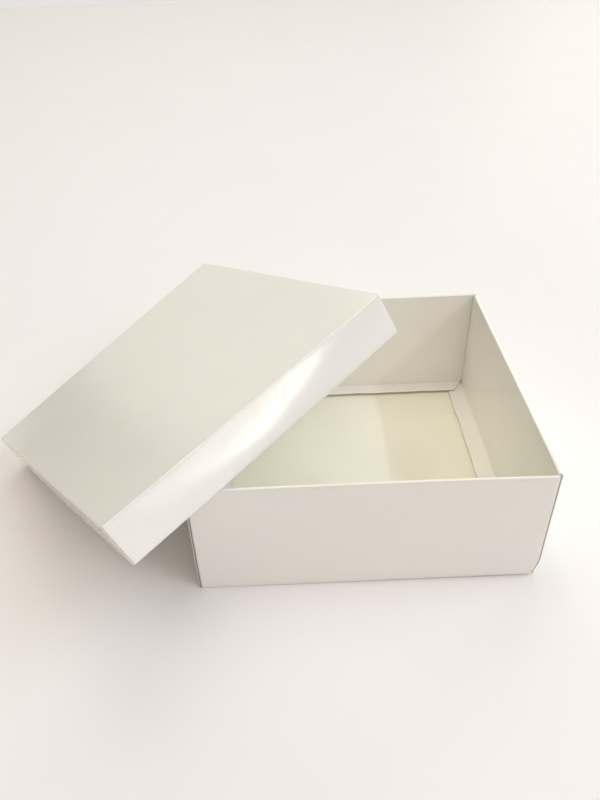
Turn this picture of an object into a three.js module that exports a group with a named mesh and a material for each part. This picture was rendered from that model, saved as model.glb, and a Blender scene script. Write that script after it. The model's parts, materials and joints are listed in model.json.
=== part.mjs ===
// Lidded gift box folded from two sheets of white card, its lid taken off and leaning on the base.
// Millimetres and degrees. The origin is the middle of the base's underside, +Z up, front wall towards -Y.
import * as THREE from "three";

const BASE_WIDTH = 200; // outside, along X
const BASE_DEPTH = 200; // outside, along Y
const BASE_HEIGHT = 80; // underside to rim
const CARD = 0.5; // thickness of both sheets
const PLY_GAP = 0.25; // air between two plies of a rolled wall
const CUT_GAP = 0.5; // clearance of a cut end beside its neighbour
const END_SETBACK = 0.9; // raw end of a front or back wall, in from the folded corner behind it
const FLANGE = 13; // width of the foot of an inner wall
const FLANGE_MITRE = 8.5; // how far each end of a flange draws in towards its free edge
const TAB_LENGTH = 40; // corner tab, along the wall that hides it
const TAB_MARGIN = 1; // corner tab clear of the crease above and below it
const TAB_TAPER = 5; // how far a tab's upper and lower edges draw in towards its free end
const LID_DEPTH = 29; // top of the lid to the lower edge of its skirt
const LID_CLEARANCE = 0.4; // between the closed lid and the base, on each side
const LID_TWIST = 4.5; // height by which each corner of the leaning lid is racked out of flat
const LID_TURN = 40; // plan angle between the lid's front edge and the base's
const LID_OUTSTAND = 18.9; // middle of the leaning lid, out from the base's left wall
const LID_SHIFT = 7.1; // middle of the leaning lid, back from the base's middle
const SEAT_GAP = 0.3; // between the leaning lid and each rim that carries it
const TWIST_STEPS = 10; // facets along a panel of the twisted lid

// Outer wall, corner tab and inner wall, one behind the other.
const WALL = 3 * CARD + 2 * PLY_GAP;
const LID_WIDTH = BASE_WIDTH + 2 * (LID_CLEARANCE + WALL);
const LID_LENGTH = BASE_DEPTH + 2 * (LID_CLEARANCE + WALL);

const whiteCard = new THREE.MeshStandardMaterial({ color: 0xf1eee6, roughness: 0.32, metalness: 0 });

const blend = (low, high, part) => (part === 0 ? low : part === 1 ? high : low + (high - low) * part);

// One sheet folded up into an open tray: floor, and on each side an outer wall, a rim strip, an inner wall
// and a flange. Left and right outer walls end in corner tabs. Front and back are rolled over last, so their
// flanges lie over the others. sideNames run counter-clockwise from the -Y side. seat is the gap between
// stacked panels.
function foldTray({ prefix, floorName, wallName, sideNames, width, depth, height, twist, seat, steps }) {
  const tray = new THREE.Group();
  tray.name = prefix;
  const halfX = width / 2;
  const halfY = depth / 2;
  const sideMaps = [
    (along, inward) => [along, inward - halfY],
    (along, inward) => [halfX - inward, along],
    (along, inward) => [-along, halfY - inward],
    (along, inward) => [inward - halfX, -along],
  ];

  // A flat panel between bounds along its side, inward from the outside and upward. mitre draws both ends in
  // towards the inward edge; taper draws the upper and lower edges in towards the far end.
  function addPanel(name, map, along, inward, up, { mitre = 0, taper = 0, acrossSteps = 1 } = {}) {
    const geometry = new THREE.BoxGeometry(1, 1, 1, steps, acrossSteps, 1);
    const points = geometry.getAttribute("position");
    for (let n = 0; n < points.count; n++) {
      const u = points.getX(n) + 0.5;
      const v = points.getY(n) + 0.5;
      const w = points.getZ(n) + 0.5;
      const alongHere = blend(along[0] + mitre * v, along[1] - mitre * v, u);
      const [x, y] = map(alongHere, blend(inward[0], inward[1], v));
      const drawn = taper * (along[0] < 0 ? u : 1 - u);
      const z = blend(up[0] + drawn, up[1] - drawn, w);
      points.setXYZ(n, x, y, z + (twist * x * y) / (halfX * halfY));
    }
    geometry.computeVertexNormals();
    const mesh = new THREE.Mesh(geometry, whiteCard);
    mesh.name = `${prefix}_${name}`;
    tray.add(mesh);
  }

  const wallFoot = CARD + seat;
  const wallHead = height - CARD - seat;
  addPanel(floorName, sideMaps[0], [-halfX, halfX], [0, depth], [0, CARD], { acrossSteps: steps });

  sideNames.forEach((side, n) => {
    const map = sideMaps[n];
    const rolledLast = n % 2 === 0;
    const half = rolledLast ? halfX : halfY;
    const outerHalf = half - (rolledLast ? END_SETBACK : CARD + PLY_GAP);
    const rimHalf = half - (rolledLast ? END_SETBACK : WALL + CUT_GAP);
    const innerHalf = half - (rolledLast ? WALL + CUT_GAP : 2 * (CARD + PLY_GAP));
    const flangeHalf = half - WALL - CUT_GAP;
    const flangeFoot = (rolledLast ? 2 : 1) * (CARD + seat);
    const flangeTop = flangeFoot + CARD;
    const innerPly = [WALL - CARD, WALL];
    const innerHeight = [flangeTop + seat, wallHead];
    const flangeReach = [WALL - CARD, WALL + FLANGE];

    addPanel(`${side}_outer_${wallName}`, map, [-outerHalf, outerHalf], [0, CARD], [wallFoot, wallHead]);
    addPanel(`${side}_rim_strip`, map, [-rimHalf, rimHalf], [0, WALL], [height - CARD, height]);
    addPanel(`${side}_inner_${wallName}`, map, [-innerHalf, innerHalf], innerPly, innerHeight);
    addPanel(`${side}_flange`, map, [-flangeHalf, flangeHalf], flangeReach, [flangeFoot, flangeTop], {
      mitre: FLANGE_MITRE,
    });

    if (rolledLast) {
      const start = half - CARD - seat;
      const tabPly = [CARD + PLY_GAP, 2 * CARD + PLY_GAP];
      const tabHeight = [wallFoot + TAB_MARGIN, wallHead - TAB_MARGIN];
      const before = sideNames[(n + 3) % 4];
      const after = sideNames[(n + 1) % 4];
      const tapered = { taper: TAB_TAPER };
      addPanel(`${side}_${before}_corner_tab`, map, [-start, TAB_LENGTH - start], tabPly, tabHeight, tapered);
      addPanel(`${side}_${after}_corner_tab`, map, [start - TAB_LENGTH, start], tabPly, tabHeight, tapered);
    }
  });
  return tray;
}

// Pose of the lid, whose own frame has the middle of its top at the origin and its skirt downwards. Lift, tilt
// and roll are corrected until the low corner stands on the ground and the skirt's lower edge clears the front
// and the back rim of the base by the seat gap.
function leanLid() {
  const halfX = LID_WIDTH / 2;
  const halfY = LID_LENGTH / 2;
  const place = new THREE.Vector3(-BASE_WIDTH / 2 - LID_OUTSTAND, LID_SHIFT, 0);
  const turn = THREE.MathUtils.degToRad(LID_TURN);

  const poseOf = ([lift, tilt, roll]) => {
    const turned = new THREE.Quaternion().setFromEuler(new THREE.Euler(roll, tilt, turn, "XYZ"));
    const moved = new THREE.Vector3(place.x, place.y, lift);
    return new THREE.Matrix4().compose(moved, turned, new THREE.Vector3(1, 1, 1));
  };
  const edgePoint = (pose, x, y) =>
    new THREE.Vector3(x, y, (LID_TWIST * x * y) / (halfX * halfY) - LID_DEPTH).applyMatrix4(pose);
  // Lowest height at which the band between an edge's two lines passes over a rim's width.
  const lowestOver = (lines, rimWidth) => {
    const heights = lines.flatMap(([from, to]) =>
      rimWidth.map((y) => blend(from.z, to.z, (y - from.y) / (to.y - from.y))),
    );
    return Math.min(...heights);
  };
  const clearancesOf = (state) => {
    const pose = poseOf(state);
    const plies = [0, WALL];
    const corner = plies.flatMap((side) => plies.map((end) => edgePoint(pose, side - halfX, halfY - end).z));
    const frontEdge = plies.map((ply) => [-halfX, halfX].map((x) => edgePoint(pose, x, ply - halfY)));
    const rightEdge = plies.map((ply) => [halfY, -halfY].map((y) => edgePoint(pose, halfX - ply, y)));
    return new THREE.Vector3(
      Math.min(...corner),
      lowestOver(frontEdge, [-BASE_DEPTH / 2, WALL - BASE_DEPTH / 2]) - BASE_HEIGHT - SEAT_GAP,
      lowestOver(rightEdge, [BASE_DEPTH / 2, BASE_DEPTH / 2 - WALL]) - BASE_HEIGHT - SEAT_GAP,
    );
  };

  const nudge = 1e-4;
  let state = [BASE_HEIGHT, -Math.atan2(BASE_HEIGHT, BASE_WIDTH), 0];
  for (let round = 0; round < 20; round++) {
    const here = clearancesOf(state);
    const slopes = state.map((_, n) => {
      const moved = state.map((value, m) => (m === n ? value + nudge : value));
      return clearancesOf(moved).sub(here).divideScalar(nudge);
    });
    const [a, b, c] = slopes;
    const step = here.applyMatrix3(new THREE.Matrix3(a.x, b.x, c.x, a.y, b.y, c.y, a.z, b.z, c.z).invert());
    state = [state[0] - step.x, state[1] - step.y, state[2] - step.z];
  }
  return poseOf(state);
}

const base = foldTray({
  prefix: "base",
  floorName: "floor_panel",
  wallName: "wall",
  sideNames: ["front", "right", "back", "left"],
  width: BASE_WIDTH,
  depth: BASE_DEPTH,
  height: BASE_HEIGHT,
  twist: 0,
  seat: 0,
  steps: 1,
});

// Folded as a tray, then turned over, which brings its -Y side to the back.
const lid = foldTray({
  prefix: "lid",
  floorName: "top_panel",
  wallName: "skirt",
  sideNames: ["back", "right", "front", "left"],
  width: LID_WIDTH,
  depth: LID_LENGTH,
  height: LID_DEPTH,
  twist: LID_TWIST,
  seat: PLY_GAP,
  steps: TWIST_STEPS,
});
lid.rotation.x = Math.PI;

const leaningLid = new THREE.Group();
leaningLid.name = "leaning_lid";
leaningLid.applyMatrix4(leanLid());
leaningLid.add(lid);

const box = new THREE.Group();
box.name = "lidded_box";
box.add(base, leaningLid);

export default box;
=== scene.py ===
"""White card gift box with its lid leaning on the base: folded sheets, card finishes and a plain stage."""

import json
import math
from collections import namedtuple

import bmesh
import bpy
from bpy.props import FloatProperty, FloatVectorProperty, IntProperty, PointerProperty
from mathutils import Matrix, Vector, noise

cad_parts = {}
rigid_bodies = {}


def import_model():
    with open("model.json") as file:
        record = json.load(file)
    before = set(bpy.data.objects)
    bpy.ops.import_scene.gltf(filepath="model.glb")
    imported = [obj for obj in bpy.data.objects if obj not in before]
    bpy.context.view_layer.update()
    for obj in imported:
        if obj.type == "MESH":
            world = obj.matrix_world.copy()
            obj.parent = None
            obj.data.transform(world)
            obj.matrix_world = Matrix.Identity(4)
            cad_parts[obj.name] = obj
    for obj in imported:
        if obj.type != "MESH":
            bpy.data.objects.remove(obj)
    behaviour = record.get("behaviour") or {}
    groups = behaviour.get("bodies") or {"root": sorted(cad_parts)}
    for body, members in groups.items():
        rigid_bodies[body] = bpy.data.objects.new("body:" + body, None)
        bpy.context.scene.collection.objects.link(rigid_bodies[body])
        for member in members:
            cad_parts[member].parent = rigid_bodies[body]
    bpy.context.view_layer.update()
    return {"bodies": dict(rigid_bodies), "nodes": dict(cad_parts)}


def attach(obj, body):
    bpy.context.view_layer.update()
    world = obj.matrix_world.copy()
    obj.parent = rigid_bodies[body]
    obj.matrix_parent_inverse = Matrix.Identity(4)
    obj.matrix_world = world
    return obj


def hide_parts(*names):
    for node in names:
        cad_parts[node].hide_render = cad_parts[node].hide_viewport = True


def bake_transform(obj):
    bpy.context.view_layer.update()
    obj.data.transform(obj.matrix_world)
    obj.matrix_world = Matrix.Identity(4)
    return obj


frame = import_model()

bl_info = {
    "name": "Folded Card Gift Box",
    "version": (1, 0, 0),
    "blender": (4, 5, 0),
    "location": "View3D > Sidebar > Gift Box",
    "description": "Folds a card base and its lid around the packed frame and sets the stage",
    "category": "Object",
}

IMAGE_HEIGHT_PX = 800
NO_TINT = (1.0, 1.0, 1.0)
PINK_TINT = (1.0, 0.84, 0.83)
COOL_TINT = (0.75, 0.88, 1.0)
CREAM_TINT = (1.0, 0.97, 0.82)
BLUSH_TINT = (1.0, 0.91, 0.77)
WARM_TINT = (1.0, 1.0, 0.88)
# Far soft lights: name, azimuth, elevation and width in degrees, strength, tint.
FAR_LIGHTS = (
    ("room_light", 0, 90, 160, 0.27, NO_TINT),
    ("front_light", -90, 45, 40, 0.43, PINK_TINT),
    ("front_right_light", -45, 45, 40, 0.5, PINK_TINT),
    ("low_right_light", -30, 20, 30, 0.34, NO_TINT),
    ("right_light", 0, 45, 40, 0.44, COOL_TINT),
    ("ceiling_light", 90, 80, 50, 0.35, CREAM_TINT),
    ("left_light", 180, 60, 40, 0.44, BLUSH_TINT),
    ("back_light", 90, 45, 40, 0.44, WARM_TINT),
    ("back_window", 95, -5, 64, 0.8, WARM_TINT),
    ("back_right_window", 60, 10, 30, 0.75, WARM_TINT),
)
# Ceiling tubes along Y: name, X, middle Y, length, width, power, tint.
TUBE_HEIGHT = 2.2
TUBES = (
    ("right_tube", 2.1, -0.6, 3.5, 0.1, 19.5, COOL_TINT),
    ("middle_tube", -0.26, 0.0, 3.5, 0.15, 6.5, CREAM_TINT),
)
# Narrow fill lights into the base: name, place, aim, width, height, spread in degrees, power, tint.
FILLS = (
    ("low_fill", (0.395, -0.01, 0.44), (-0.02, -0.01, 0.0), 0.1, 0.02, 14, 0.003, WARM_TINT),
    ("high_fill", (0.0, 0.02, 0.60), (0.075, 0.02, 0.0), 0.1, 0.1, 10, 0.0011, CREAM_TINT),
    ("wall_fill", (-0.15, -0.05, 0.50), (0.1, 0.0, 0.035), 0.1, 0.03, 12, 0.002, BLUSH_TINT),
)
# Strip lights low on the right, seen only in gloss: name, place, width, height, power.
STRIP_AIM = (-0.048, -0.062, 0.108)
STRIP_ROLL = math.radians(-35)
STRIPS = (
    ("strip_light", (0.40, -0.278, 0.075), 0.05, 0.18, 0.09),
    ("strip_halo", (0.395, -0.286, 0.085), 0.085, 0.21, 0.16),
    ("strip_glow", (0.385, -0.305, 0.09), 0.16, 0.24, 0.2),
    ("strip_shoulder", (0.335, -0.375, 0.065), 0.12, 0.2, 0.09),
)
SENSOR_MM = 36
# Floor: half its width, and how far it lies under the box, so that the two don't share a plane.
FLOOR_HALF = 2.5
FLOOR_DROP = 0.0002

SIDES = range(4)
ROLLED_LAST = (0, 2)
FOLDED_FIRST = (1, 3)
# Decimals kept of a frame point, and lengths under which two points or a point and a cut are the same.
POINT_DIGITS = 7
SAME_PLACE = 1e-5
CUT_SNAP = 1e-7
# Share of the floor's reach past which a point of it counts as a corner.
CORNER_REACH = 0.999
# Material slots of a piece of card: coated face, plain back, and cut edge, whose dark colour also paints the
# shade in the seams and grooves.
FACE_SLOT = 0
BACK_SLOT = 1
EDGE_AND_SEAM_SHADE_SLOT = 2
# Edges that bend more than this are folds.
FOLD_ANGLE = math.radians(30)
# How far a corner tab narrows above and below, towards its free end.
TAB_TAPER = 0.005
# Cuts across a raw end that let it curl, as shares of the curl's width.
CURL_CUTS = (0.5, 1.0)
# A wall's bow fades inwards over this many wall thicknesses, and grows to the rim with this power.
FADE_WALLS = 10
BOW_POWER = 1.3
RIPPLE_SEED = 1
# Drop below the rim at which a swinging liner leaves the base, and at which it wholly follows its own body.
BASE_FRONT_RIGHT = (1, -1)
BASE_BACK_RIGHT = (1, 1)
LID_FRONT_RIGHT = (1, 1)
# How a corner's lean is shared out over the height: everywhere, just above the foot, and growing to the rim.
LEAN_FROM_TOP = (1.0, 0.0, -0.6)
LEAN_FROM_FOOT = (0.0, 0.9, 0.1)
LEAN_TO_RIM = (0.0, 0.0, 1.0)

# How a tray departs from flat panels at right angles.
Slack = namedtuple("Slack", "bows bulges leans foot_lift", defaults=(0.0,))

# Card finishes: grain of each pattern per metre, depth of each bump in metres, shade of the darker patches.
MOTTLE_GRAIN = 22.0
PATCH_GRAIN = 38.0
SWELL_GRAIN = 45.0
PEEL_GRAIN = 150.0
CRACK_GRAIN = 260.0
TOOTH_GRAIN = 900.0
FIBRE_GRAIN = 1400.0
CLOUD_GRAIN = 5.0
SCUFF_GRAIN = 40.0
SWELL_DEPTH = 0.0003
PEEL_DEPTH = 0.00008
TOOTH_DEPTH = 0.00003
FIBRE_DEPTH = 0.0001
FACE_SHADE = 0.985
BACK_SHADE = 0.97
FIBRE_SHADE = 0.7
FLOOR_SHADE = 0.985
# Most of a crease that can be cracked, how much rougher a crack is, and the bare card's roughness.
CRACK_SHARE = 0.6
CRACK_ROUGHNESS = 0.25
BACK_ROUGHNESS = 0.55
EDGE_ROUGHNESS = 0.85


class Tray:
    """One folded sheet as the frame holds it. Its own axes have the floor down and the walls up.

    Side 0 faces -Y, side 1 +X, side 2 +Y and side 3 -X. Sides 0 and 2 are rolled over last.
    """

    def __init__(self, prefix, floor, wall, side_names):
        self.prefix = prefix
        self.wall_word = wall
        self.side_names = side_names
        self.floor_node = f"{prefix}_{floor}"
        walls = [node_centre(self.node(n, f"outer_{wall}")) for n in SIDES]
        x_axis = (walls[1] - walls[3]).normalized()
        y_axis = (walls[2] - walls[0]).normalized()
        z_axis = x_axis.cross(y_axis)
        axes = Matrix((x_axis, y_axis, z_axis)).transposed().to_4x4()
        self.to_row = Matrix.Translation(node_centre(self.floor_node)) @ axes
        self.twist = 0.0
        flat = self.points(self.floor_node)
        self.half_x = max(p.x for p in flat)
        self.half_y = max(p.y for p in flat)
        corners = [p for p in flat if abs(p.x * p.y) > CORNER_REACH * self.half_x * self.half_y]
        self.twist = sum(math.copysign(p.z, p.z * p.x * p.y) for p in corners) / len(corners)
        low, high = self.box(self.floor_node)
        self.card = high.z - low.z
        self.to_row @= Matrix.Translation((0, 0, -self.card / 2))
        rim_low, rim_high = self.box(self.node(0, "rim_strip"))
        self.height = rim_high.z
        self.wall = rim_high.y - rim_low.y

    def node(self, side, panel):
        """Name of one side's panel in the frame."""
        return f"{self.prefix}_{self.side_names[side]}_{panel}"

    def tab_nodes(self):
        """Names of the four corner tabs."""
        names = []
        for n in ROLLED_LAST:
            for m in FOLDED_FIRST:
                names.append(self.node(n, f"{self.side_names[m]}_corner_tab"))
        return names

    def rack(self, point):
        """Height that the racked sheet gains at a point."""
        return self.twist * point.x * point.y / (self.half_x * self.half_y)

    def points(self, node):
        """A node's corner points in the tray's own axes, with the racking taken out."""
        inverse = self.to_row.inverted()
        found = [inverse @ p for p in node_points(node)]
        if self.twist:
            for p in found:
                p.z -= self.rack(p)
        return found

    def box(self, node):
        """Lowest and highest corner of a node in the tray's own axes."""
        found = self.points(node)
        low = Vector([min(p[k] for p in found) for k in range(3)])
        high = Vector([max(p[k] for p in found) for k in range(3)])
        return low, high

    def half(self, side):
        """Half the length of a side's outer edge."""
        return self.half_x if side % 2 == 0 else self.half_y

    def side_matrix(self, side):
        """Places (along, inward, up) of a side in the tray's own axes."""
        out = self.half(side + 1)
        return Matrix.Rotation(side * math.pi / 2, 4, "Z") @ Matrix.Translation((0, -out, 0))

    def panel(self, side, name):
        """A panel's points as (along, inward, up) of its side."""
        inverse = self.side_matrix(side).inverted()
        return [inverse @ p for p in self.points(self.node(side, name))]

    def panel_half(self, side, name):
        """Half the greatest length of a side's panel."""
        return max(p.x for p in self.panel(side, name))


def node_points(name):
    """Distinct corner points of a frame node."""
    rounded = {tuple(round(c, POINT_DIGITS) for c in v.co) for v in frame["nodes"][name].data.vertices}
    return [Vector(p) for p in sorted(rounded)]


def node_centre(name):
    """Mean of a frame node's corner points."""
    points = node_points(name)
    return sum(points, Vector()) / len(points)


BASE = Tray("base", "floor_panel", "wall", ("front", "right", "back", "left"))
LID = Tray("lid", "top_panel", "skirt", ("back", "right", "front", "left"))


class GiftBoxSizes(bpy.types.PropertyGroup):
    """Shape of the folded card"""

    fold_radius: FloatProperty(
        name="Fold radius",
        description="Radius of the middle of the card round a fold",
        default=0.00045,
        unit="LENGTH",
    )
    fold_segments: IntProperty(
        name="Fold segments",
        description="Facets round a fold",
        default=4,
    )
    crease_width: FloatProperty(
        name="Crease width",
        description="How far a crease marks the card beside it",
        default=0.0008,
        unit="LENGTH",
    )
    corner_gap: FloatProperty(
        name="Corner gap",
        description="Gap between the end of a front or back inner wall and the inner wall beside it",
        default=0.00012,
        unit="LENGTH",
    )
    base_end: FloatProperty(
        name="Base raw end",
        description="Raw end of the base's front and back outer walls, in from the folded corner",
        default=0.0017,
        unit="LENGTH",
    )
    lid_end: FloatProperty(
        name="Lid raw end",
        description="Raw end of the lid's front and back outer skirts, in from the folded corner",
        default=0.0009,
        unit="LENGTH",
    )
    curl_width: FloatProperty(
        name="Curl width",
        description="Length of a raw end that curls in behind",
        default=0.0008,
        unit="LENGTH",
    )
    curl_depth: FloatProperty(
        name="Curl depth",
        description="How far a raw end curls in",
        default=0.00025,
        unit="LENGTH",
    )
    flange_wave: FloatProperty(
        name="Flange wave",
        description="Unevenness of a flange's free edge",
        default=0.0009,
        unit="LENGTH",
    )
    flange_wave_length: FloatProperty(
        name="Flange wave length",
        description="Distance between the swells of a flange's free edge",
        default=0.018,
        unit="LENGTH",
    )
    strip_width: FloatProperty(
        name="Strip width",
        description="Spacing of the cuts that let a panel bow smoothly",
        default=0.005,
        unit="LENGTH",
    )
    base_bows: FloatVectorProperty(
        name="Base bows",
        description="How far the middle of each rim of the base stands out: front, right, back, left",
        default=(-0.0007, 0.0002, 0.0004, 0.0002),
        size=4,
        unit="LENGTH",
    )
    lid_bows: FloatVectorProperty(
        name="Lid bows",
        description="How far the middle of each lower edge of the lid stands out: back, right, front, left",
        default=(0.0004, 0.0004, 0.0008, 0.0004),
        size=4,
        unit="LENGTH",
    )
    base_bulges: FloatVectorProperty(
        name="Base bulges",
        description="How far the middle of each wall of the base swells out: front, right, back, left",
        default=(0.0003, 0.0003, 0.0003, 0.0003),
        size=4,
        unit="LENGTH",
    )
    lid_bulges: FloatVectorProperty(
        name="Lid bulges",
        description="How far the middle of each skirt of the lid swells out: back, right, front, left",
        default=(0.0003, 0.0003, 0.0007, 0.0003),
        size=4,
        unit="LENGTH",
    )
    base_lifts: FloatVectorProperty(
        name="Base flange lifts",
        description="Rise of each flange's free edge in the base: front, right, back, left",
        default=(0.0006, 0.0005, 0.0009, 0.0004),
        size=4,
        unit="LENGTH",
    )
    lid_lifts: FloatVectorProperty(
        name="Lid flange lifts",
        description="Rise of each flange's free edge in the lid: back, right, front, left",
        default=(0.0008, 0.0003, 0.0008, 0.0003),
        size=4,
        unit="LENGTH",
    )
    front_right_lean: FloatVectorProperty(
        name="Front right lean",
        description="How far the front right corner of the base's rim stands out of square",
        default=(0.0028, 0.0, 0.0),
        subtype="TRANSLATION",
    )
    back_right_lean: FloatVectorProperty(
        name="Back right lean",
        description="How far the back right corner of the base's rim stands out of square",
        default=(0.0018, 0.0035, 0.0),
        subtype="TRANSLATION",
    )
    lid_corner_draw: FloatVectorProperty(
        name="Lid corner draw",
        description="How far the high corner of the lid is drawn in, along the lid's own axes",
        default=(-0.0024, 0.0, 0.0),
        subtype="TRANSLATION",
    )
    foot_height: FloatProperty(
        name="Foot height",
        description="Height above the floor at which an outer wall has taken up most of its lean",
        default=0.012,
        unit="LENGTH",
    )
    foot_lift: FloatProperty(
        name="Foot lift",
        description="Rise of the base's front lower edge at its right end",
        default=0.0013,
        unit="LENGTH",
    )
    ripple: FloatProperty(
        name="Ripple",
        description="Slow unevenness of the card",
        default=0.00018,
        unit="LENGTH",
    )
    ripple_length: FloatProperty(
        name="Ripple length",
        description="Distance between the swells of the ripple",
        default=0.055,
        unit="LENGTH",
    )


class GiftBoxFinish(bpy.types.PropertyGroup):
    """Finish of the card"""

    face_colour: FloatVectorProperty(
        name="Coated face",
        description="Colour of the coated face of the card",
        default=(0.94, 0.92, 0.86),
        subtype="COLOR",
    )
    back_colour: FloatVectorProperty(
        name="Plain back",
        description="Colour of the uncoated back of the card",
        default=(0.95, 0.93, 0.80),
        subtype="COLOR",
    )
    # Cut edge: darker than the bare board, partly painted shade for the seams at the corners and the grooves
    # at the tabs' roots.
    edge_and_seam_shade_colour: FloatVectorProperty(
        name="Cut edge",
        description="Colour of a raw edge of the card",
        default=(0.42, 0.36, 0.28),
        subtype="COLOR",
    )
    worn_colour: FloatVectorProperty(
        name="Worn crease",
        description="Colour of the card where a crease has cracked its coating",
        default=(0.84, 0.81, 0.74),
        subtype="COLOR",
    )
    face_roughness: FloatProperty(
        name="Face roughness",
        description="Mean roughness of the coated face",
        default=0.12,
        subtype="FACTOR",
    )


class GiftBoxStage(bpy.types.PropertyGroup):
    """Floor, light and camera"""

    floor_colour: FloatVectorProperty(
        name="Floor",
        description="Colour of the floor",
        default=(0.93, 0.905, 0.895),
        subtype="COLOR",
    )
    backdrop: FloatProperty(
        name="Backdrop",
        description="Brightness of the backdrop beyond the floor, which only the camera sees",
        default=0.85,
        min=0,
    )
    camera_place: FloatVectorProperty(
        name="Camera place",
        description="Where the camera stands",
        default=(-0.0346, -0.3646, 0.3374),
        subtype="TRANSLATION",
    )
    camera_aim: FloatVectorProperty(
        name="Camera aim",
        description="Point on the floor at the middle of the picture",
        default=(-0.0356, 0.0833, 0.0),
        subtype="TRANSLATION",
    )
    camera_roll: FloatProperty(
        name="Camera roll",
        description="Turn of the camera about its line of sight",
        default=math.radians(-2.35),
        subtype="ANGLE",
    )
    focal_px: FloatProperty(
        name="Focal length in pixels",
        description="Focal length of the picture, which is 800 pixels high",
        default=692.0,
    )


def fold(bm, edges, move):
    """Extrudes a row of edges by one panel and gives the panel's far edges."""
    made = bmesh.ops.extrude_edge_only(bm, edges=edges)["geom"]
    verts = [g for g in made if isinstance(g, bmesh.types.BMVert)]
    bmesh.ops.translate(bm, verts=verts, vec=move)
    far = set(verts)
    return [g for g in made if isinstance(g, bmesh.types.BMEdge) and far.issuperset(g.verts)]


def ends_of(edges):
    """The two end vertices of a row of edges that runs along X."""
    verts = {v for e in edges for v in e.verts}
    return min(verts, key=lambda v: v.co.x), max(verts, key=lambda v: v.co.x)


def spread(edges, half):
    """Moves the ends of a row of edges out or in to a half length."""
    low, high = ends_of(edges)
    low.co.x = -half
    high.co.x = half


def cut(bm, place, normal):
    """Cuts every face that a plane crosses."""
    geometry = bm.verts[:] + bm.edges[:] + bm.faces[:]
    bmesh.ops.bisect_plane(bm, geom=geometry, dist=CUT_SNAP, plane_co=place, plane_no=normal)


def middle_edges(edges, half):
    """Those edges of a row along X that lie within a half length."""
    return [e for e in edges if abs(sum(v.co.x for v in e.verts) / 2) < half]


def round_folds(bm, sizes):
    """Rounds every fold and marks its faces."""
    mark = bm.faces.layers.int.new("fold")
    sharp = [e for e in bm.edges if e.is_manifold and e.calc_face_angle() > FOLD_ANGLE]
    made = bmesh.ops.bevel(
        bm,
        geom=sharp,
        offset=sizes.fold_radius,
        offset_type="OFFSET",
        segments=sizes.fold_segments,
        profile=0.5,
        affect="EDGES",
        material=-1,
    )
    for face in made["faces"]:
        face[mark] = 1
        face.material_index = FACE_SLOT


def cut_strips(bm, tray, sizes):
    """Cuts the panels into strips, with a narrow one beside each fold, and marks the creases."""
    spans = ((-tray.half_x, tray.half_x), (-tray.half_y, tray.half_y), (0, tray.height))
    for axis, (low, high) in enumerate(spans):
        normal = Vector([float(k == axis) for k in range(3)])
        margin = tray.wall + sizes.crease_width
        inner_low = low + margin
        inner_high = high - margin
        count = max(1, round((inner_high - inner_low) / sizes.strip_width))
        for step in range(count + 1):
            cut(bm, normal * (inner_low + (inner_high - inner_low) * step / count), normal)
    mark = bm.faces.layers.int["fold"]
    crease = bm.verts.layers.float.new("crease")
    for v in bm.verts:
        v[crease] = float(any(f[mark] for f in v.link_faces))


def curl_ends(bm, tray, raw_end, sizes):
    """Curls the raw ends of the front and back outer walls in towards the tabs behind them."""
    end = tray.half_x - raw_end
    for sign in (-1, 1):
        for share in CURL_CUTS:
            cut(bm, (sign * (end - share * sizes.curl_width), 0, 0), (1, 0, 0))
    for n in ROLLED_LAST:
        place = tray.side_matrix(n)
        inverse = place.inverted()
        inward = place.to_3x3() @ Vector((0, 1, 0))
        for v in bm.verts:
            along, depth, _ = inverse @ v.co
            share = (abs(along) - end) / sizes.curl_width + 1
            if share > 0 and depth < tray.card:
                v.co += inward * (sizes.curl_depth * share**2)


def wave_flange(bm, tray, side, sizes):
    """Lifts and draws the free edge of a side's flange in and out unevenly."""
    place = tray.side_matrix(side)
    inverse = place.inverted()
    inward_way = place.to_3x3() @ Vector((0, 1, 0))
    reach = max((inverse @ v.co).y for v in bm.verts)
    for v in bm.verts:
        along, inward, _ = inverse @ v.co
        share = (inward - tray.wall) / (reach - tray.wall)
        if share > 0:
            free = 1 - (along / tray.half(side)) ** 2
            size = sizes.flange_wave * free * share
            swell = 0.5 + 0.5 * noise.noise(Vector((along / sizes.flange_wave_length, side, 0)))
            drawn = noise.noise(Vector((along / sizes.flange_wave_length, side, 1)))
            v.co.z += size * swell
            v.co += inward_way * (size * drawn)


def ease(part):
    """Smooth step from 0 to 1."""
    part = min(1, max(0, part))
    return part * part * (3 - 2 * part)


def corner_share(tray, point, corner):
    """How much a point belongs to a corner of the tray, from 0 on the sides across from it to 1."""
    across = ease((1 + corner[0] * point.x / tray.half_x) / 2)
    along = ease((1 + corner[1] * point.y / tray.half_y) / 2)
    return across * along


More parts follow.
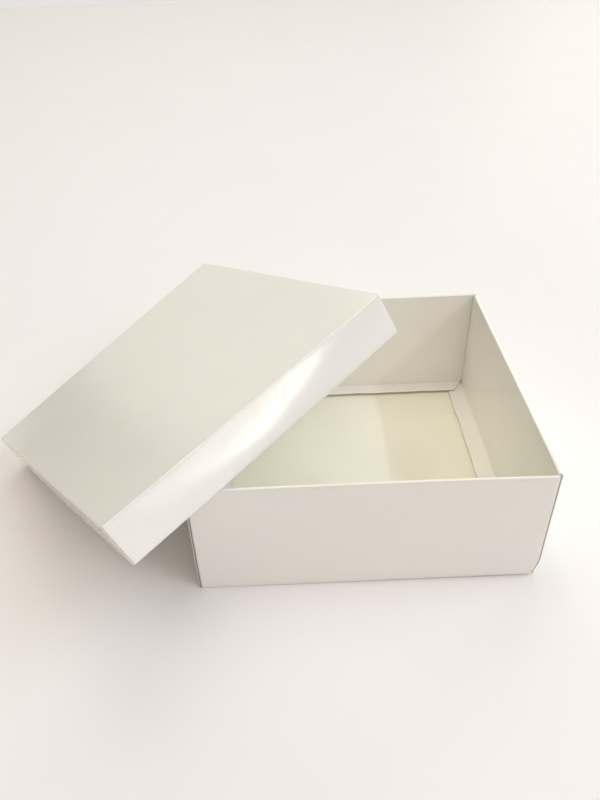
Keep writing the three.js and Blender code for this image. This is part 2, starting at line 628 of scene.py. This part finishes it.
def shape_sheet(bm, tray, slack, lean_shares, sizes):
    """Bows, leans and ripples a flat-folded sheet, racks it and puts it in the row's frame."""
    noise.seed_set(RIPPLE_SEED)
    fade = FADE_WALLS * tray.wall
    inverses = [tray.side_matrix(n).inverted() for n in SIDES]
    everywhere, from_foot, to_rim = lean_shares
    for v in bm.verts:
        flat = v.co.copy()
        rise = max(flat.z, 0) / tray.height
        moved = noise.noise_vector(flat / sizes.ripple_length) * sizes.ripple
        moved.z *= rise
        for n in SIDES:
            along, inward, _ = inverses[n] @ flat
            near = max(0, 1 - max(inward, 0) / fade)
            free = max(0, 1 - (along / tray.half(n)) ** 2)
            outward = tray.side_matrix(n).to_3x3() @ Vector((0, -1, 0))
            swell = slack.bows[n] * free * rise**BOW_POWER
            swell += slack.bulges[n] * free * math.sin(math.pi * min(rise, 1))
            moved += outward * (near * swell)
            if n == 0:
                moved.z += slack.foot_lift * near * (1 - rise) * ease((1 + along / tray.half(n)) / 2)
        lean_share = everywhere + from_foot * ease(flat.z / sizes.foot_height) + to_rim * rise
        for corner, lean in slack.leans:
            moved += Vector(lean) * (lean_share * corner_share(tray, flat, corner))
        v.co = flat + moved
        v.co.z += tray.rack(flat)
    bmesh.ops.transform(bm, matrix=tray.to_row, verts=bm.verts)


def face_out(bm, outward):
    """Turns the sheet so that the coated side of its largest face looks along a direction."""
    bmesh.ops.recalc_face_normals(bm, faces=bm.faces)
    largest = max(bm.faces, key=lambda f: f.calc_area())
    if largest.normal.dot(outward) < 0:
        bmesh.ops.reverse_faces(bm, faces=bm.faces)


def card_object(name, bm, card, materials):
    """Makes a piece of card of a sheet's middle: coated face, plain back and raw edges, whose dark colour is
    partly painted seam shade.
    """
    for edge in bm.edges:
        edge.smooth = not edge.is_boundary
    for face in bm.faces:
        face.smooth = True
    mesh = bpy.data.meshes.new(name)
    bm.to_mesh(mesh)
    bm.free()
    for material in materials:
        mesh.materials.append(material)
    piece = bpy.data.objects.new(name, mesh)
    bpy.context.scene.collection.objects.link(piece)
    thick = piece.modifiers.new("card", "SOLIDIFY")
    thick.thickness = card
    thick.offset = 0
    thick.use_even_offset = True
    thick.use_quality_normals = True
    thick.material_offset = BACK_SLOT
    thick.material_offset_rim = EDGE_AND_SEAM_SHADE_SLOT
    return piece


def free_edges(bm, inverse, depth):
    """Free edges that lie at a depth inward from a side's outer edge."""
    return [e for e in bm.edges if e.is_boundary
            and all(abs((inverse @ v.co).y - depth) < SAME_PLACE for v in e.verts)]


def upright(edge, least):
    """Whether an edge rises by more than a least height."""
    return abs(edge.verts[0].co.z - edge.verts[1].co.z) > least


def level(edge, height):
    """Whether an edge lies at a height."""
    return all(abs(v.co.z - height) < SAME_PLACE for v in edge.verts)


def cut_wall(bm, head, place, normal):
    """Cuts by a plane only the wall faces under a row of head edges."""
    faces = {f for e in head for f in e.link_faces}
    edges = {e for f in faces for e in f.edges}
    verts = {v for f in faces for v in f.verts}
    geometry = [*faces, *edges, *verts]
    bmesh.ops.bisect_plane(bm, geom=geometry, dist=CUT_SNAP, plane_co=place, plane_no=normal)


def tray_sheet(tray, raw_end):
    """Floor, outer walls, the outer half of the rims and the corner tabs, flat-folded."""
    bm = bmesh.new()
    half_card = tray.card / 2
    tab_node = tray.node(0, f"{tray.side_names[1]}_corner_tab")
    tab_low, tab_high = tray.box(tab_node)
    tab_plane = (tab_low.y + tab_high.y) / 2
    end_x = tray.half_x - raw_end
    end_y = -tab_plane
    bmesh.ops.create_grid(bm, x_segments=1, y_segments=1, size=1)
    flat = (tray.half_x - half_card, tray.half_y - half_card, 1)
    bmesh.ops.scale(bm, verts=bm.verts, vec=flat)
    bmesh.ops.translate(bm, verts=bm.verts, vec=(0, 0, half_card))
    for sign in (-1, 1):
        cut(bm, (sign * end_x, 0, 0), (1, 0, 0))
        cut(bm, (0, sign * end_y, 0), (0, 1, 0))
    corners = [f for f in bm.faces if abs(f.calc_center_median().x) > end_x
               and abs(f.calc_center_median().y) > end_y]
    bmesh.ops.delete(bm, geom=corners, context="FACES")

    for n in SIDES:
        place = tray.side_matrix(n)
        inverse = place.inverted()
        inward = place.to_3x3() @ Vector((0, 1, 0))
        head = fold(bm, free_edges(bm, inverse, half_card), (0, 0, tray.height - tray.card))
        if n in FOLDED_FIRST:
            tab_roots = [e for e in free_edges(bm, inverse, half_card) if upright(e, tray.card)]
            for edge in tab_roots:
                fold_tab(bm, edge, inward, tab_high.x - tab_low.x, tab_low.z, tray)
            rim_half = tray.panel_half(n, "rim_strip")
            for sign in (-1, 1):
                cut_wall(bm, head, (0, sign * rim_half, 0), (0, 1, 0))
                head = [e for e in free_edges(bm, inverse, half_card) if level(e, tray.height - half_card)]
            head = [e for e in head if abs(sum((inverse @ v.co).x for v in e.verts) / 2) < rim_half]
        fold(bm, head, inward * (tray.wall / 2 - half_card))
    return bm


def fold_tab(bm, edge, inward, length, foot, tray):
    """Folds a tapered tab of a length, which starts at a foot height, round the corner from a wall's end, and
    paints its first strip with the cut edge's dark colour as shade in the groove.
    """
    margin = foot - tray.card
    middle = tray.height / 2
    edges = [edge]
    root = edge.link_faces[0]
    for reach, drawn in ((2 * margin, margin), (length - 2 * margin, TAB_TAPER)):
        edges = fold(bm, edges, inward * reach)
        for v in edges[0].verts:
            v.co.z += drawn if v.co.z < middle else -drawn
    # Painted shade: the tab's first strip, in the groove behind the wall's raw end, takes the dark cut-edge
    # material.
    for face in edge.link_faces:
        if face is not root:
            face.material_index = EDGE_AND_SEAM_SHADE_SLOT


def liner_sheet(tray, side, lift, sizes):
    """Inner half of a rim, inner wall and flange of one side, flat-folded."""
    half_card = tray.card / 2
    rim_half = tray.panel_half(side, "rim_strip")
    inner_half = tray.panel_half(side, f"inner_{tray.wall_word}")
    flange = tray.panel(side, "flange")
    flange_reach = max(p.y for p in flange)
    flange_half = max(p.x for p in flange)
    tip_half = max(p.x for p in flange if p.y > flange_reach - SAME_PLACE)
    flange_height = (min(p.z for p in flange) + max(p.z for p in flange)) / 2
    inner_place = tray.wall - half_card
    rim_height = tray.height - half_card
    if side in ROLLED_LAST:
        inner_half = tray.half_x - tray.wall - sizes.corner_gap
    crease_half = min(rim_half, inner_half)
    ear = 2 * tray.card

    bm = bmesh.new()
    ends = [bm.verts.new((x, tray.wall / 2, rim_height)) for x in (-rim_half, rim_half)]
    edges = fold(bm, [bm.edges.new(ends)], (0, inner_place - tray.wall / 2, 0))
    if crease_half < rim_half:
        for sign in (-1, 1):
            cut(bm, (sign * crease_half, 0, 0), (1, 0, 0))
        edges = [e for e in bm.edges if all(abs(v.co.y - inner_place) < SAME_PLACE for v in e.verts)]
        edges = middle_edges(edges, crease_half)
    edges = fold(bm, edges, (0, 0, -ear))
    spread(edges, inner_half)
    edges = fold(bm, edges, (0, 0, flange_height - rim_height + 2 * ear))
    edges = fold(bm, edges, (0, 0, -ear))
    spread(edges, min(inner_half, flange_half))
    edges = fold(bm, edges, (0, flange_reach - inner_place, lift))
    spread(edges, tip_half)
    bmesh.ops.transform(bm, matrix=tray.side_matrix(side), verts=bm.verts)
    return bm


def base_slack(sizes):
    """How the base departs from square."""
    leans = ((BASE_FRONT_RIGHT, sizes.front_right_lean), (BASE_BACK_RIGHT, sizes.back_right_lean))
    return Slack(sizes.base_bows, sizes.base_bulges, leans, sizes.foot_lift)


def lid_slack(sizes):
    """How the lid departs from square."""
    leans = ((LID_FRONT_RIGHT, sizes.lid_corner_draw),)
    return Slack(sizes.lid_bows, sizes.lid_bulges, leans)


def make_tray(tray, slack, lean_shares, raw_end, materials, sizes):
    """Folds a tray's main sheet and lets it ride on its body."""
    bm = tray_sheet(tray, raw_end)
    face_out(bm, Vector((0, 0, -1)))
    round_folds(bm, sizes)
    cut_strips(bm, tray, sizes)
    curl_ends(bm, tray, raw_end, sizes)
    shape_sheet(bm, tray, slack, lean_shares, sizes)
    piece = card_object(f"{tray.prefix}_tray", bm, tray.card, materials)
    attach(piece, tray.prefix)
    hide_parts(tray.floor_node, *tray.tab_nodes())
    for n in SIDES:
        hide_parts(tray.node(n, f"outer_{tray.wall_word}"), tray.node(n, "rim_strip"))
    return piece


def make_liner(tray, side, lift, slack, lean_shares, materials, sizes):
    """Folds one side's liner, which still rides on nothing."""
    bm = liner_sheet(tray, side, lift, sizes)
    inward = tray.side_matrix(side).to_3x3() @ Vector((0, 1, 0))
    face_out(bm, inward)
    round_folds(bm, sizes)
    cut_strips(bm, tray, sizes)
    wave_flange(bm, tray, side, sizes)
    shape_sheet(bm, tray, slack, lean_shares, sizes)
    piece = card_object(f"{tray.prefix}_{tray.side_names[side]}_liner", bm, tray.card, materials)
    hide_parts(tray.node(side, f"inner_{tray.wall_word}"), tray.node(side, "flange"))
    return piece


def add_node(tree, kind, **sockets):
    """Adds a shader node and sets its sockets, whose names have _ for a space."""
    node = tree.nodes.new(f"ShaderNode{kind}")
    for name, value in sockets.items():
        node.inputs[name.replace("_", " ")].default_value = value
    return node


def mix_colours(tree, factor, first, second):
    """Mixes a colour output or value into another by a factor output, and gives the result."""
    node = tree.nodes.new("ShaderNodeMix")
    node.data_type = "RGBA"
    sockets = {s.identifier: s for s in node.inputs}
    tree.links.new(factor, sockets["Factor_Float"])
    for name, colour in (("A_Color", first), ("B_Color", second)):
        if isinstance(colour, bpy.types.NodeSocket):
            tree.links.new(colour, sockets[name])
        else:
            sockets[name].default_value = (*colour, 1)
    return next(s for s in node.outputs if s.identifier == "Result_Color")


def spread_values(tree, output, low, high, start=0.2, stop=0.8):
    """Maps a noise output to a range of values."""
    node = add_node(tree, "MapRange", From_Min=start, From_Max=stop, To_Min=low, To_Max=high)
    node.interpolation_type = "SMOOTHSTEP"
    tree.links.new(output, node.inputs["Value"])
    return node.outputs["Result"]


def noise_at(tree, place, scale, detail):
    """Noise of a scale per metre at a place."""
    node = add_node(tree, "TexNoise", Scale=scale, Detail=detail)
    tree.links.new(place, node.inputs["Vector"])
    return node.outputs["Fac"]


def bump_on(tree, height, strength, distance, below=None):
    """Adds a bump of a height output, over another bump if there is one."""
    node = add_node(tree, "Bump", Strength=strength, Distance=distance)
    tree.links.new(height, node.inputs["Height"])
    if below is not None:
        tree.links.new(below, node.inputs["Normal"])
    return node.outputs["Normal"]


def card_material(name, colour, shade, worn, roughness, gloss_spread, tooth):
    """Card with faint mottling, patchy gloss, a fine tooth and creases that have lost some coating."""
    material = bpy.data.materials.new(name)
    material.use_nodes = True
    tree = material.node_tree
    shader = tree.nodes["Principled BSDF"]
    place = tree.nodes.new("ShaderNodeTexCoord").outputs["Object"]
    mottle = spread_values(tree, noise_at(tree, place, MOTTLE_GRAIN, detail=2.0), 0.0, 1.0)
    darker = tuple(c * shade for c in colour)
    face = mix_colours(tree, mottle, darker, colour)
    crease = tree.nodes.new("ShaderNodeAttribute")
    crease.attribute_name = "crease"
    cracked = add_node(tree, "Math")
    cracked.operation = "MULTIPLY"
    tree.links.new(crease.outputs["Fac"], cracked.inputs[0])
    cracks = spread_values(tree, noise_at(tree, place, CRACK_GRAIN, detail=5.0), 0.0, CRACK_SHARE)
    tree.links.new(cracks, cracked.inputs[1])
    tree.links.new(mix_colours(tree, cracked.outputs[0], face, worn), shader.inputs["Base Color"])
    smoothest = roughness - gloss_spread
    roughest = roughness + gloss_spread
    patches = spread_values(tree, noise_at(tree, place, PATCH_GRAIN, detail=1.0), smoothest, roughest)
    duller = add_node(tree, "Math")
    duller.operation = "MULTIPLY_ADD"
    duller.inputs[1].default_value = CRACK_ROUGHNESS
    tree.links.new(cracked.outputs[0], duller.inputs[0])
    tree.links.new(patches, duller.inputs[2])
    tree.links.new(duller.outputs[0], shader.inputs["Roughness"])
    swells = noise_at(tree, place, SWELL_GRAIN, detail=1.0)
    swollen = bump_on(tree, swells, strength=0.5, distance=SWELL_DEPTH)
    peel = noise_at(tree, place, PEEL_GRAIN, detail=1.0)
    peeled = bump_on(tree, peel, strength=0.5, distance=PEEL_DEPTH, below=swollen)
    teeth = noise_at(tree, place, TOOTH_GRAIN, detail=4.0)
    toothed = bump_on(tree, teeth, strength=tooth, distance=TOOTH_DEPTH, below=peeled)
    tree.links.new(toothed, shader.inputs["Normal"])
    return material


def edge_and_seam_shade_material(name, colour):
    """Raw edge of grey-brown board with its torn layers, darker than the bare board so that it also paints
    the shade in the seams and grooves.
    """
    material = bpy.data.materials.new(name)
    material.use_nodes = True
    tree = material.node_tree
    shader = tree.nodes["Principled BSDF"]
    shader.inputs["Roughness"].default_value = EDGE_ROUGHNESS
    place = tree.nodes.new("ShaderNodeTexCoord").outputs["Object"]
    fibres = spread_values(tree, noise_at(tree, place, FIBRE_GRAIN, detail=5.0), 0.0, 1.0)
    dark = tuple(c * FIBRE_SHADE for c in colour)
    tree.links.new(mix_colours(tree, fibres, dark, colour), shader.inputs["Base Color"])
    torn = bump_on(tree, fibres, strength=0.6, distance=FIBRE_DEPTH)
    tree.links.new(torn, shader.inputs["Normal"])
    return material


def floor_material(name, colour):
    """Pale floor with a faint unevenness."""
    material = bpy.data.materials.new(name)
    material.use_nodes = True
    tree = material.node_tree
    shader = tree.nodes["Principled BSDF"]
    place = tree.nodes.new("ShaderNodeTexCoord").outputs["Object"]
    cloud = spread_values(tree, noise_at(tree, place, CLOUD_GRAIN, detail=3.0), 0.0, 1.0)
    darker = tuple(c * FLOOR_SHADE for c in colour)
    tree.links.new(mix_colours(tree, cloud, darker, colour), shader.inputs["Base Color"])
    scuffs = spread_values(tree, noise_at(tree, place, SCUFF_GRAIN, detail=3.0), low=0.5, high=0.65)
    tree.links.new(scuffs, shader.inputs["Roughness"])
    return material


def card_materials(finish):
    """Coated face, plain back and cut edge with painted seam shade, made once."""
    made = [bpy.data.materials.get(name) for name in ("coated_face", "plain_back", "cut_edge_and_seam_shade")]
    if all(made):
        return made
    face = tuple(finish.face_colour)
    back = tuple(finish.back_colour)
    worn = tuple(finish.worn_colour)
    coating = finish.face_roughness
    return [
        card_material("coated_face", face, FACE_SHADE, worn, coating, gloss_spread=0.03, tooth=0.2),
        card_material("plain_back", back, BACK_SHADE, worn, BACK_ROUGHNESS, gloss_spread=0.06, tooth=0.6),
        edge_and_seam_shade_material("cut_edge_and_seam_shade", tuple(finish.edge_and_seam_shade_colour)),
    ]


def soft_light(name, place, aim, width, height, power, colour, roll=0.0):
    """A rectangular soft light at a place, turned to a point and rolled about its sight line."""
    light = bpy.data.lights.new(name, "AREA")
    light.shape = "RECTANGLE"
    light.size = width
    light.size_y = height
    light.energy = power
    light.color = colour
    lamp = bpy.data.objects.new(name, light)
    lamp.location = place
    turn = (Vector(aim) - Vector(place)).to_track_quat("-Z", "Y").to_matrix()
    lamp.rotation_euler = (turn @ Matrix.Rotation(roll, 3, "Z")).to_euler()
    bpy.context.scene.collection.objects.link(lamp)
    return lamp


def lay_floor(stage):
    """A wide pale floor just under the box."""
    bm = bmesh.new()
    bmesh.ops.create_grid(bm, x_segments=1, y_segments=1, size=FLOOR_HALF)
    bmesh.ops.translate(bm, verts=bm.verts, vec=(0, 0, -FLOOR_DROP))
    mesh = bpy.data.meshes.new("floor")
    bm.to_mesh(mesh)
    bm.free()
    mesh.materials.append(floor_material("pale_floor", tuple(stage.floor_colour)))
    floor = bpy.data.objects.new("floor", mesh)
    bpy.context.scene.collection.objects.link(floor)


def far_light(name, azimuth, elevation, spread, strength, colour):
    """A far soft light. Azimuth runs from +X towards +Y, and spread is the width that it fills in the sky."""
    light = bpy.data.lights.new(name, "SUN")
    light.angle = math.radians(spread)
    light.energy = strength
    light.color = colour
    lamp = bpy.data.objects.new(name, light)
    turn = math.radians(azimuth)
    rise = math.radians(elevation)
    towards = Vector((math.cos(turn) * math.cos(rise), math.sin(turn) * math.cos(rise), math.sin(rise)))
    lamp.rotation_euler = (-towards).to_track_quat("-Z", "Y").to_euler()
    bpy.context.scene.collection.objects.link(lamp)


def hang_lights(scene, stage):
    """Backdrop for the camera alone, far soft lights all round, ceiling tubes, fills and strip lights."""
    world = bpy.data.worlds.new("backdrop")
    scene.world = world
    world.use_nodes = True
    background = world.node_tree.nodes["Background"]
    background.inputs["Color"].default_value = (*stage.floor_colour, 1)
    background.inputs["Strength"].default_value = stage.backdrop
    world.cycles_visibility.diffuse = False
    world.cycles_visibility.glossy = False
    for row in FAR_LIGHTS:
        far_light(*row)
    lamps = []
    for name, x, y, length, width, power, tint in TUBES:
        place = (x, y, TUBE_HEIGHT)
        lamps.append(soft_light(name, place, (0, y, 0), length, width, power, tint))
    for name, place, aim, width, height, spread, power, tint in FILLS:
        fill = soft_light(name, place, aim, width, height, power, tint)
        fill.data.spread = math.radians(spread)
        lamps.append(fill)
    for name, place, width, height, power in STRIPS:
        strip = soft_light(name, place, STRIP_AIM, width, height, power, WARM_TINT, STRIP_ROLL)
        strip.visible_diffuse = False
        lamps.append(strip)
    for lamp in lamps:
        lamp.visible_camera = False


def set_camera(scene, stage):
    """Camera at the picture's viewing angle."""
    camera = bpy.data.cameras.new("camera")
    camera.sensor_width = SENSOR_MM
    camera.lens = stage.focal_px * camera.sensor_width / IMAGE_HEIGHT_PX
    holder = bpy.data.objects.new("camera", camera)
    place = Vector(stage.camera_place)
    sight = Vector(stage.camera_aim) - place
    turn = sight.to_track_quat("-Z", "Y").to_matrix().to_4x4()
    holder.matrix_world = Matrix.Translation(place) @ turn @ Matrix.Rotation(stage.camera_roll, 4, "Z")
    scene.collection.objects.link(holder)
    scene.camera = holder


class GIFT_BOX_OT_base_tray(bpy.types.Operator):
    """Folds the base's floor, outer walls and corner tabs"""

    bl_idname = "gift_box.base_tray"
    bl_label = "Base Tray"

    def execute(self, context):
        sizes = context.scene.gift_box_sizes
        materials = card_materials(context.scene.gift_box_finish)
        make_tray(BASE, base_slack(sizes), LEAN_FROM_FOOT, sizes.base_end, materials, sizes)
        return {"FINISHED"}


class GIFT_BOX_OT_base_liners(bpy.types.Operator):
    """Folds the base's four inner walls with their flanges"""

    bl_idname = "gift_box.base_liners"
    bl_label = "Base Liners"

    def execute(self, context):
        sizes = context.scene.gift_box_sizes
        materials = card_materials(context.scene.gift_box_finish)
        slack = base_slack(sizes)
        for n in SIDES:
            piece = make_liner(BASE, n, sizes.base_lifts[n], slack, LEAN_TO_RIM, materials, sizes)
            body = f"base_{BASE.side_names[n]}_liner"
            if body in frame["bodies"]:
                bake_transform(piece)
            else:
                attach(piece, "base")
        return {"FINISHED"}


class GIFT_BOX_OT_lid_tray(bpy.types.Operator):
    """Folds the lid's top, outer skirts and corner tabs"""

    bl_idname = "gift_box.lid_tray"
    bl_label = "Lid Tray"

    def execute(self, context):
        sizes = context.scene.gift_box_sizes
        materials = card_materials(context.scene.gift_box_finish)
        make_tray(LID, lid_slack(sizes), LEAN_FROM_TOP, sizes.lid_end, materials, sizes)
        return {"FINISHED"}


class GIFT_BOX_OT_lid_liners(bpy.types.Operator):
    """Folds the lid's four inner skirts with their flanges"""

    bl_idname = "gift_box.lid_liners"
    bl_label = "Lid Liners"

    def execute(self, context):
        sizes = context.scene.gift_box_sizes
        materials = card_materials(context.scene.gift_box_finish)
        slack = lid_slack(sizes)
        for n in SIDES:
            piece = make_liner(LID, n, sizes.lid_lifts[n], slack, LEAN_FROM_TOP, materials, sizes)
            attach(piece, "lid")
        return {"FINISHED"}


class GIFT_BOX_OT_stage(bpy.types.Operator):
    """Lays the floor, hangs the lights and sets up the camera"""

    bl_idname = "gift_box.stage"
    bl_label = "Stage"

    def execute(self, context):
        scene = context.scene
        stage = scene.gift_box_stage
        lay_floor(stage)
        hang_lights(scene, stage)
        set_camera(scene, stage)
        scene.view_settings.view_transform = "Standard"
        return {"FINISHED"}


class GIFT_BOX_PT_panel(bpy.types.Panel):
    """Lists the pieces of the gift box"""

    bl_idname = "GIFT_BOX_PT_panel"
    bl_label = "Gift Box"
    bl_space_type = "VIEW_3D"
    bl_region_type = "UI"
    bl_category = "Gift Box"

    def draw(self, context):
        for operator in OPERATORS:
            self.layout.operator(operator.bl_idname)
        for group in GROUPS:
            settings = getattr(context.scene, GROUPS[group])
            for name in group.__annotations__:
                self.layout.prop(settings, name)


GROUPS = {
    GiftBoxSizes: "gift_box_sizes",
    GiftBoxFinish: "gift_box_finish",
    GiftBoxStage: "gift_box_stage",
}
OPERATORS = (
    GIFT_BOX_OT_base_tray,
    GIFT_BOX_OT_base_liners,
    GIFT_BOX_OT_lid_tray,
    GIFT_BOX_OT_lid_liners,
    GIFT_BOX_OT_stage,
)


def register():
    for group, name in GROUPS.items():
        bpy.utils.register_class(group)
        setattr(bpy.types.Scene, name, PointerProperty(type=group))
    for operator in OPERATORS:
        bpy.utils.register_class(operator)
    bpy.utils.register_class(GIFT_BOX_PT_panel)


def unregister():
    bpy.utils.unregister_class(GIFT_BOX_PT_panel)
    for operator in reversed(OPERATORS):
        bpy.utils.unregister_class(operator)
    for group, name in GROUPS.items():
        delattr(bpy.types.Scene, name)
        bpy.utils.unregister_class(group)


def main():
    register()
    bpy.ops.gift_box.base_tray()
    bpy.ops.gift_box.base_liners()
    bpy.ops.gift_box.lid_tray()
    bpy.ops.gift_box.lid_liners()
    bpy.ops.gift_box.stage()


if __name__ == "__main__":
    main()
